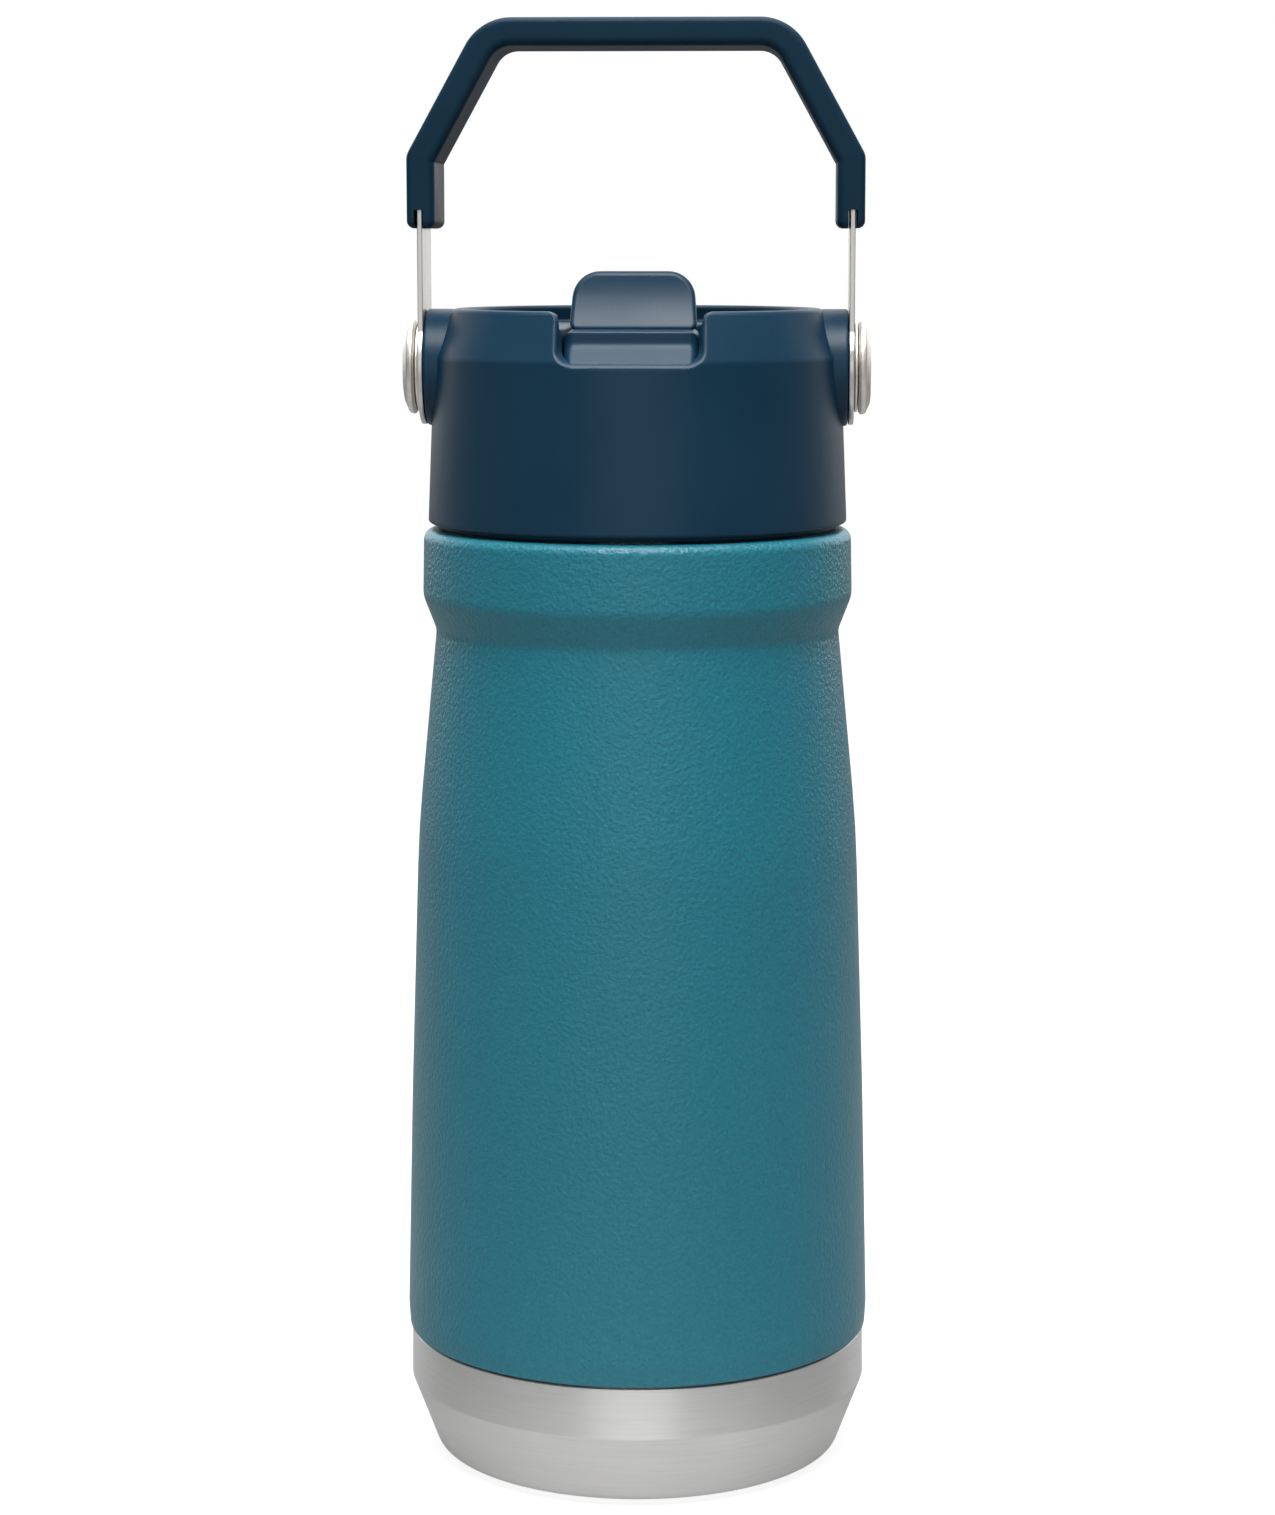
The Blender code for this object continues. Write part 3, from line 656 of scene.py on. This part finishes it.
def notch_tool():
    """Cutter of the thumb notch. Its sides flare outwards and it widens at the collar's skin, which
    rounds the notch's edge; the widening fades out where the sides curve over onto the rim."""
    edge, draft, rim_round, corner, reach = 0.85, 0.5, 2.0, 2.1, 4.0
    top = RIM_TOP + 0.02
    wide = NOTCH_HALF + reach
    outline = rounded([
        (-wide, top + reach, 0.0), (-wide, top, 0.0), (-NOTCH_HALF, top, rim_round),
        (-NOTCH_HALF, NOTCH_FLOOR, corner), (NOTCH_HALF, NOTCH_FLOOR, corner),
        (NOTCH_HALF, top, rim_round), (wide, top, 0.0), (wide, top + reach, 0.0),
    ])
    widened = grown(outline, 1.0)
    stations = [(7.0, 0.0, 0.0), (3.0, 0.0, 0.0)]
    for k in range(7):
        angle = math.pi / 2.0 * k / 6
        stations.append((edge * (1.0 - math.sin(angle)), edge * (1.0 - math.cos(angle)), draft))
    stations.append((-reach, edge, draft))
    rings = []
    for depth, flare, lean in stations:
        ring = []
        for (x, z), (wide_x, wide_z) in zip(outline, widened):
            share = flare * min(1.0, max(0.0, (top - z) / rim_round))
            x, z = x + share * (wide_x - x), z + share * (wide_z - z)
            x *= 1.0 + lean / NOTCH_HALF
            radius = collar_radius(min(z, RIM_TOP)) - depth
            ring.append((x, -math.sqrt(max(radius * radius - x * x, 1.0)), z))
        rings.append(ring)
    return loft(rings)


def well_tool():
    """Cutter of the spout's well: full length below the notch, shorter above it so that the rim on
    either side of the notch stays whole, with a rounded edge at the deck."""
    edge, upper_front = 0.5, -26.6

    def outline(front):
        return rounded([(-WELL_HALF, front, 0.5), (WELL_HALF, front, 0.5),
                        (WELL_HALF, WELL_BACK, 1.5), (-WELL_HALF, WELL_BACK, 1.5)])

    lower, upper = outline(WELL_FRONT), outline(upper_front)
    rings = [[(x, y, height) for x, y in lower] for height in (WELL_FLOOR, NOTCH_FLOOR + 0.2)]
    rings.append([(x, y, NOTCH_FLOOR + 0.4) for x, y in upper])
    for k in range(5):
        angle = math.pi / 2.0 * k / 4
        height = DECK_TOP - edge * (1.0 - math.sin(angle))
        rings.append([(x, y, height) for x, y in grown(upper, edge * (1.0 - math.cos(angle)))])
    rings.append([(x, y, RIM_TOP + 3.0) for x, y in grown(upper, edge)])
    return loft(rings)


def boss(side):
    """Round boss of a handle pivot, with its shaft hole and a softened face edge."""
    pilot_r, sunk = 1.5, 29.7
    corners = [
        (pilot_r, sunk, 0.0), (BOSS_R, sunk, 0.0), (BOSS_R, BOSS_FACE, 0.45),
        (pilot_r, BOSS_FACE, 0.0),
    ]
    return onto_x(lathe(rounded(corners), RING_STEPS), side, PIVOT_Z)


def boss_root(side):
    """Fills the corner between the top of a boss and the leaning rim."""
    rim = disc(BOSS_R - 0.02, (0.0, PIVOT_Z), RING_STEPS)
    top = sorted(point for point in rim if point[1] > DECK_UNDER + 0.6)
    return slab(top, "X", side * 27.7, side * 31.5)


def build_collar():
    """Collar of the lid: wall, leaning rim, deck, spout well, thumb notch, bosses and their holes."""
    lip_z = SHOULDER_TOP + 0.3
    rim_in, seat_r, seat_top = 27.3, 30.2, 157.8
    outside = [
        (30.0, lip_z, 0.2), (32.2, lip_z, 0.25), (32.5, COLLAR_BOTTOM, 0.1),
        (FOOT_R, COLLAR_BOTTOM, 0.8), (CREASE_R, CREASE_Z, 2.2), (RIM_R, RIM_TOP, 1.0),
    ]
    inside = [
        (rim_in, RIM_TOP, 0.7), (rim_in, DECK_TOP, 0.6), (0.0, DECK_TOP, 0.0),
        (0.0, DECK_UNDER, 0.0), (SKIRT_R, DECK_UNDER, 0.0), (SKIRT_R, seat_top, 0.0),
        (seat_r, seat_top, 0.0), (seat_r, 154.6, 0.0), (30.0, 154.4, 0.0),
    ]
    piece = solid("lid_collar_fine", lathe(rounded(outside + inside)))
    wall = 2.0
    half, rear = WELL_HALF + wall, WELL_BACK + wall
    nose_half, nose_y, cheek_y = 8.0, -29.8, -27.4
    block = [
        (-half, rear), (-half, cheek_y), (-nose_half, nose_y),
        (nose_half, nose_y), (half, cheek_y), (half, rear),
    ]
    tools = [("UNION", slab(block, "Z", WELL_FLOOR - 2.2, DECK_TOP - 1.0))]
    for side in (-1, 1):
        tools += [("UNION", boss(side)), ("UNION", boss_root(side))]
    tools += [("DIFFERENCE", well_tool()), ("DIFFERENCE", notch_tool())]
    tools.append(("DIFFERENCE", slab(disc(PIN_HOLE_R, (0.0, HINGE_Z)), "X", -14.0, 14.0)))
    shank_hole = disc(SHANK_HOLE_R, (0.0, PIVOT_Z))
    for side in (-1, 1):
        tools.append(("DIFFERENCE", slab(shank_hole, "X", side * 27.0, side * 34.0)))
    port_r, port_low, port_high = 7.3, 166.0, 170.0
    port = [(0.0, port_low), (port_r, port_low), (port_r, port_high), (0.0, port_high)]
    tools.append(("DIFFERENCE", lathe(port, SMALL_STEPS)))
    combine(piece, *tools)
    stand_for(piece, "lid_collar")


def build_plug():
    """Threaded plug of the lid, closed below, with the riser up its middle."""
    riser_r, cup_r, flange_r, gland_r = 4.8, 22.8, 29.9, 25.7
    floor, floor_top, flange_low, flange_top = 139.0, 141.0, 155.0, 157.5
    riser_top, nipple_end = 166.5, 131.0
    corners = [
        (BORE_R, riser_top, 0.2), (8.5, riser_top, 0.4), (8.5, 165.0, 0.4), (riser_r, 164.6, 0.5),
        (riser_r, floor_top, 0.8), (cup_r, floor_top, 1.2), (cup_r, flange_top, 0.6),
        (flange_r, flange_top, 0.3), (flange_r, flange_low, 0.3), (gland_r, flange_low, 0.2),
        (gland_r, 152.8, 0.2), (PLUG_R, 152.6, 0.2), (PLUG_R, floor, 1.0), (STRAW_R, floor, 0.4),
        (STRAW_R, nipple_end, 0.6), (BORE_R, nipple_end, 0.2),
    ]
    piece = solid("lid_plug_fine", lathe(rounded(corners), MIDDLE_STEPS))
    vent_r, below, above = 1.6, floor - 2.0, floor_top + 2.0
    vent = lathe([(0.0, below), (vent_r, below), (vent_r, above), (0.0, above)], 32)
    vent.transform(Matrix.Translation((0.0, VENT_Y, 0.0)))
    tools = threads(PLUG_R, PLUG_R + THREAD_HEIGHT, 141.5, math.radians(126.0))
    combine(piece, *tools, ("DIFFERENCE", vent))
    stand_for(piece, "lid_plug")


def build_straw():
    """Drinking straw with a slanted foot."""
    top, foot, slant = 130.6, 14.0, 0.5
    corners = [(BORE_R, top, 0.15), (STRAW_R, top, 0.3), (STRAW_R, foot, 0.3), (BORE_R, foot, 0.15)]
    bm = lathe(rounded(corners), 48)
    for vert in bm.verts:
        if vert.co.z < foot + 6.0:
            vert.co.z += slant * vert.co.x
    stand_for(solid("straw_fine", bm), "straw")


def build_small_turned_pieces():
    """Seals, valve, foil, getter and evacuation plug."""
    turned("lid_gasket", [
        (26.0, 153.5, 0.4), (29.1, 153.5, 0.55), (29.1, 154.7, 0.5), (26.0, 154.7, 0.2)],
        MIDDLE_STEPS)
    turned("port_seal", [
        (3.4, 166.9, 0.1), (7.0, 166.9, 0.3), (7.0, 169.2, 0.6), (5.4, 169.7, 0.5),
        (3.4, 169.5, 0.3)], SMALL_STEPS)
    turned("vent_valve", [
        (0.0, 142.4, 0.0), (2.4, 142.3, 0.3), (2.4, 141.4, 0.1), (1.2, 141.4, 0.1), (1.2, 138.7, 0.1),
        (3.4, 138.7, 0.2), (3.1, 137.8, 0.3), (0.0, 137.4, 0.0)], SMALL_STEPS, (0.0, VENT_Y))
    turned("straw_sleeve", [
        (4.65, 138.6, 0.15), (6.4, 138.6, 0.5), (6.4, 135.0, 0.3), (6.0, 134.6, 0.3), (6.0, 125.0, 0.3),
        (6.4, 124.6, 0.3), (6.4, 121.0, 0.5), (4.65, 121.0, 0.15)], SMALL_STEPS)
    turned("radiation_foil", [
        (33.2, 104.0, 0.0), (33.45, 98.0, 20.0), (35.1, 34.0, 0.0), (34.85, 34.0, 0.0),
        (33.2, 98.0, 20.0), (32.95, 104.0, 0.0)], MIDDLE_STEPS)
    turned("getter", [
        (0.0, 8.4, 0.0), (4.5, 8.4, 0.4), (4.5, 5.8, 0.4), (0.0, 5.8, 0.0)], SMALL_STEPS, (12.0, 0.0))
    turned("vacuum_plug", [
        (0.0, 3.4, 0.0), (1.5, 3.4, 0.2), (1.5, 1.5, 0.1), (4.0, 1.5, 0.15), (4.0, 1.1, 0.2),
        (3.0, 0.7, 0.8), (0.0, 0.6, 0.0)], SMALL_STEPS)


# ---- flip spout -------------------------------------------------------------------------------
def spout_body():
    """The spout without its tab: scooped top, flat ledge, round hinge barrel, softened ends."""
    barrel_r, end_round = 6.0, 1.5
    low, high = HINGE_Z - barrel_r, HINGE_Z + barrel_r
    ledge_z = DECK_TOP - 0.5
    barrel_round = barrel_r - 0.1
    corners = [
        (SPOUT_FRONT, 171.0, 1.8), (SPOUT_FRONT, 179.5, 0.9), (-23.9, 182.4, 2.1),
        (-23.75, ledge_z + 0.1, 0.35), (-13.6, ledge_z + 0.35, 2.0), (-8.6, ledge_z, 2.5),
        (-barrel_r, high, 2.0), (barrel_r, high, barrel_round), (barrel_r, low, barrel_round),
        (-23.0, low + 0.2, 3.0),
    ]
    steps = quarter(end_round, 6)
    near = [(-SPOUT_HALF + depth, shrink) for depth, shrink in steps]
    far = [(SPOUT_HALF - depth, shrink) for depth, shrink in reversed(steps)]
    return loft([[(x, y, z) for y, z in inset(corners, shrink)] for x, shrink in near + far])


def thumb_tab():
    """Thumb tab: a plate with a softened border, upright at its top and leaning back at its foot."""
    half, top_half, border = 10.0, 9.3, 0.75
    foot_lean, top_lean, front, back = 0.66, 0.22, -16.8, -14.2
    foot = DECK_TOP - 0.4
    corners = [
        (-half, foot, 1.2), (half, foot, 1.2), (top_half, TAB_TOP, 4.3), (-top_half, TAB_TOP, 4.3),
    ]
    steps = quarter(border, 6)
    faces = [(front + depth, shrink) for depth, shrink in steps]
    faces += [(back - depth, shrink) for depth, shrink in reversed(steps)]
    tab = loft([[(x, y, z) for x, z in inset(corners, shrink)] for y, shrink in faces])
    subdivide_across(tab, 12)
    tall = TAB_TOP - DECK_TOP
    for vert in tab.verts:
        rise = vert.co.z - DECK_TOP
        vert.co.y += foot_lean * rise - (foot_lean - top_lean) * rise * rise / (2.0 * tall)
    return tab


def build_spout():
    """Spout with its tab, its flared drinking bore and the holes of the stub pins."""
    piece = solid("flip_spout_fine", spout_body())
    mouth, past, flare = -SPOUT_FRONT, -SPOUT_FRONT + 2.0, 0.9
    bore = lathe(rounded([
        (0.0, -8.0, 0.0), (BORE_R, -8.0, 0.0), (BORE_R, mouth - flare, 0.9),
        (BORE_R + flare, mouth, 0.0), (BORE_R + flare, past, 0.0), (0.0, past, 0.0),
    ]), SMALL_STEPS)
    moved(bore, Matrix.Rotation(math.radians(90.0), 4, "X"), Matrix.Translation((0.0, 0.0, HINGE_Z)))
    tools = [("UNION", thumb_tab()), ("DIFFERENCE", bore)]
    pin_hole = disc(PIN_HOLE_R, (0.0, HINGE_Z))
    for side in (-1, 1):
        tools.append(("DIFFERENCE", slab(pin_hole, "X", side * 5.0, side * 12.0)))
    combine(piece, *tools)
    stand_for(piece, "flip_spout")


# ---- handle and its pivots --------------------------------------------------------------------
def build_pivots():
    """Hinge pins, spacers, washers and rivets, on both sides."""
    shim = 0.15
    pin_in, pin_out = 5.4, 12.9
    spacer_r, spacer_in, spacer_out = 5.4, BOSS_FACE + shim, STRAP_IN - shim
    washer_r, washer_in = 7.1, STRAP_OUT + shim
    washer_out = washer_in + 0.4
    shank_r, tail_r, tail_in, tail_out = 2.5, 3.8, 27.7, 28.9
    under = washer_out + shim
    head = under + 2.0
    pieces = {
        "spout_pin_": (HINGE_Z, SMALL_STEPS, [
            (0.0, pin_in, 0.0), (PIN_R, pin_in, 0.3), (PIN_R, pin_out, 0.3), (0.0, pin_out, 0.0)]),
        "pivot_spacer_": (PIVOT_Z, RING_STEPS, [
            (SHANK_HOLE_R, spacer_in, 0.0), (spacer_r, spacer_in, 0.1),
            (spacer_r, spacer_out, 0.1), (SHANK_HOLE_R, spacer_out, 0.0)]),
        "pivot_washer_": (PIVOT_Z, RING_STEPS, [
            (SHANK_HOLE_R, washer_in, 0.0), (washer_r, washer_in, 0.12),
            (washer_r, washer_out, 0.12), (SHANK_HOLE_R, washer_out, 0.0)]),
        "pivot_rivet_": (PIVOT_Z, RING_STEPS, [
            (0.0, tail_in, 0.0), (tail_r, tail_in, 0.4), (tail_r, tail_out, 0.2),
            (shank_r, tail_out, 0.0), (shank_r, under, 0.0), (7.0, under, 0.35),
            (7.5, under + 0.45, 0.3), (7.3, under + 1.2, 0.45), (5.6, head - 0.05, 0.5),
            (5.0, head, 0.3), (0.0, head, 0.0)]),
    }
    for word, side in (("left", -1), ("right", 1)):
        for stem, (height, steps, corners) in pieces.items():
            node = stem + word
            piece = solid(node + "_fine", onto_x(lathe(rounded(corners), steps), side, height))
            stand_for(piece, node)


def build_straps():
    """Sheet straps: a round eye below, straight sides, the top hidden in the grip."""
    join = math.degrees(math.acos(STRAP_HALF / EYE_R))
    outline = arc((0.0, PIVOT_Z), EYE_R, 180.0 - join, 360.0 + join, 72)
    corner = 2.0
    outline += arc((STRAP_HALF - corner, STRAP_TOP - corner), corner, 0.0, 90.0, 8)
    outline += arc((-STRAP_HALF + corner, STRAP_TOP - corner), corner, 90.0, 180.0, 8)
    for word, side in (("left", -1), ("right", 1)):
        node = "handle_strap_" + word
        low, high = sorted((side * STRAP_IN, side * STRAP_OUT))
        piece = solid(node + "_fine", slab(outline, "X", low, high, 0.14, 3))
        holes = [disc(SHANK_HOLE_R, (0.0, PIVOT_Z), 72), disc(PEG_HOLE_R, (0.0, PEG_Z), 72)]
        combine(piece, *[("DIFFERENCE", slab(hole, "X", side * 32.0, side * 36.0)) for hole in holes])
        stand_for(piece, node)


def grip_stations():
    """Right half of the arch: (x, z, lean) along its outer line, up the leg and over to the middle."""
    lean = math.radians(29.0)
    bend_r, bend_z, top_r = 3.0, 211.7, 8.3
    start_z = bend_z - bend_r * math.tan(lean / 2.0)
    stations = [(GRIP_OUTER, 202.0, 0.0), (GRIP_OUTER, start_z - 0.8, 0.0)]
    for k in range(9):
        angle = lean * k / 8
        stations.append((GRIP_OUTER - bend_r * (1.0 - math.cos(angle)),
                         start_z + bend_r * math.sin(angle), angle))
    bend_x, bend_end_z, _ = stations[-1]
    knee_z = GRIP_TOP - top_r * (1.0 - math.sin(lean))
    knee_x = bend_x - (knee_z - bend_end_z) * math.tan(lean)
    for k in range(19):
        angle = lean + (math.pi / 2.0 - lean) * k / 18
        stations.append((knee_x - top_r * (math.cos(lean) - math.cos(angle)),
                         knee_z + top_r * (math.sin(angle) - math.sin(lean)), angle))
    last_x, last_z, angle = stations[-1]
    stations.append((last_x - 0.8, last_z, angle))
    return stations


def build_grip():
    """Moulded grip: rounded arch, softened leg ends, slots that take the straps, and their pegs."""
    outer_round, inner_round, end_round = 0.95, 1.35, 1.2
    stations = [(GRIP_OUTER, GRIP_BOTTOM + depth, 0.0, shrink)
                for depth, shrink in quarter(end_round, 6)]
    stations += [(x, z, angle, 0.0) for x, z, angle in grip_stations()]
    stations += [(-x, z, math.pi - angle, shrink) for x, z, angle, shrink in reversed(stations)]
    rings = []
    for x, z, angle, shrink in stations:
        half = GRIP_HALF - shrink
        near = max(outer_round - shrink, 0.2)
        far = max(inner_round - shrink, 0.2)
        section = rounded([(shrink, -half, near), (GRIP_THICK - shrink, -half, far),
                           (GRIP_THICK - shrink, half, far), (shrink, half, near)], turn=15.0)
        sine, cosine = math.sin(angle), math.cos(angle)
        rings.append([(x - depth * cosine, y, z - depth * sine) for depth, y in section])
    piece = solid("grip_fine", loft(rings))
    tools = []
    gap, below, mouth_half, mouth_top = 0.3, 199.0, 10.0, 203.2
    half, top = STRAP_HALF + gap, STRAP_TOP + gap
    slot = [(-half, below), (half, below), (half, top), (-half, top)]
    mouth = [
        (-mouth_half, below), (mouth_half, below), (mouth_half, mouth_top), (-mouth_half, mouth_top),
    ]
    for side in (-1, 1):
        low, high = sorted((side * (STRAP_IN - gap), side * (STRAP_OUT + gap)))
        tools.append(("DIFFERENCE", slab(slot, "X", low, high)))
        tools.append(("DIFFERENCE", slab(mouth, "X", low, high)))
        peg = slab(disc(PEG_R, (0.0, PEG_Z), 48), "X", side * 32.6, side * 35.5)
        tools.append(("UNION", peg))
    combine(piece, *tools)
    stand_for(piece, "grip")


# ---- studio -----------------------------------------------------------------------------------
def area_light(name, place, target, size, power):
    """A white rectangular softbox aimed at a target."""
    light = bpy.data.lights.new(name, "AREA")
    light.shape = "RECTANGLE"
    light.size, light.size_y = size
    light.energy = power
    lamp = bpy.data.objects.new(name, light)
    lamp.location = place
    lamp.rotation_euler = (Vector(target) - Vector(place)).to_track_quat("-Z", "Y").to_euler()
    bpy.context.scene.collection.objects.link(lamp)


def build_floor():
    """Pale floor: plain white to the camera; to everything else darker, with a painted pool of light
    glowing softly by the base.
    """
    bm = bmesh.new()
    half, drop = 6.0, 0.0002
    bmesh.ops.create_grid(bm, x_segments=1, y_segments=1, size=half)
    mesh = bpy.data.meshes.new("studio_floor")
    bm.to_mesh(mesh)
    bm.free()
    floor = bpy.data.objects.new("studio_floor", mesh)
    floor.location.z = -drop
    bpy.context.scene.collection.objects.link(floor)
    mat, tree, shader = new_material("pale_floor")
    seen = add_node(tree, "ShaderNodeLightPath").outputs["Is Camera Ray"]
    place = add_node(tree, "ShaderNodeTexCoord").outputs["Object"]
    away = add_node(tree, "ShaderNodeVectorMath", {0: place, 1: (0.0, -0.060, 0.0)},
                    operation="DISTANCE").outputs["Value"]
    # painted pool of light: for all but camera rays the floor glows by the base and fades out with
    # distance
    painted_light_pool = remap(tree, away, 0.50, 0.03, 0.032, 0.088)
    glow = add_node(tree, "ShaderNodeMix", {"Factor": seen, "A": painted_light_pool, "B": 0.85}).outputs["Result"]
    feed(tree, shader, Base_Color=(0.25, 0.25, 0.25, 1.0), Roughness=0.9,
         Emission_Color=(1.0, 1.0, 1.0, 1.0), Emission_Strength=glow)
    mesh.materials.append(mat)


def build_world():
    """White surroundings. To the camera they are plain white; as a source of light they grow from the
    sides towards the back and ease off straight behind the bottle."""
    world = bpy.data.worlds.new("studio")
    world.use_nodes = True
    tree = world.node_tree
    seen = add_node(tree, "ShaderNodeLightPath").outputs["Is Camera Ray"]
    toward = add_node(tree, "ShaderNodeTexCoord").outputs["Generated"]
    back = add_node(tree, "ShaderNodeSeparateXYZ", {"Vector": toward}).outputs["Y"]
    rising = remap(tree, back, 0.20, 2.0, 0.36, 0.90)
    falling = remap(tree, back, 2.0, 1.0, 0.88, 0.98)
    light = add_node(tree, "ShaderNodeMath", {0: rising, 1: falling}, operation="MINIMUM").outputs[0]
    strength = add_node(tree, "ShaderNodeMath", {0: light, 1: seen}, operation="MAXIMUM").outputs[0]
    background = tree.nodes["Background"]
    background.inputs["Color"].default_value = (1.0, 1.0, 1.0, 1.0)
    tree.links.new(strength, background.inputs["Strength"])
    bpy.context.scene.world = world


def build_camera():
    """A long lens a little above the lid, turned slightly to the right of the bottle's front."""
    data = bpy.data.cameras.new("camera")
    data.lens = 82.69
    data.sensor_width = 36.0
    data.clip_start = 0.01
    data.clip_end = 20.0
    camera = bpy.data.objects.new("camera", data)
    yaw, pitch = math.radians(2.4), math.radians(8.5)
    distance, height = 0.5613, 0.1989
    camera.location = (distance * math.sin(yaw), -distance * math.cos(yaw), height)
    camera.rotation_euler = (math.pi / 2.0 - pitch, 0.0, yaw)
    bpy.context.scene.collection.objects.link(camera)
    bpy.context.scene.camera = camera


def build_studio():
    """Camera, surroundings, floor and softboxes."""
    build_camera()
    build_world()
    build_floor()
    middle = (0.0, 0.0, 0.11)
    area_light("top", (0.0, 0.06, 0.80), middle, (0.5, 0.44), 5.2)
    area_light("key", (0.02, -0.36, 0.80), middle, (0.34, 0.30), 6.2)
    area_light("front", (0.0, -1.10, 0.29), middle, (0.85, 0.55), 1.42)
    area_light("side_left", (-0.58, -0.05, 0.98), middle, (0.3, 0.4), 1.2)
    area_light("side_right", (0.58, -0.05, 0.98), middle, (0.3, 0.4), 1.2)


# ---- assembly ---------------------------------------------------------------------------------
bpy.context.scene.view_settings.view_transform = "Standard"
MATERIALS = build_materials()
build_shell()
build_base()
build_vessel()
build_collar()
build_plug()
build_straw()
build_small_turned_pieces()
build_spout()
build_pivots()
build_straps()
build_grip()
build_studio()
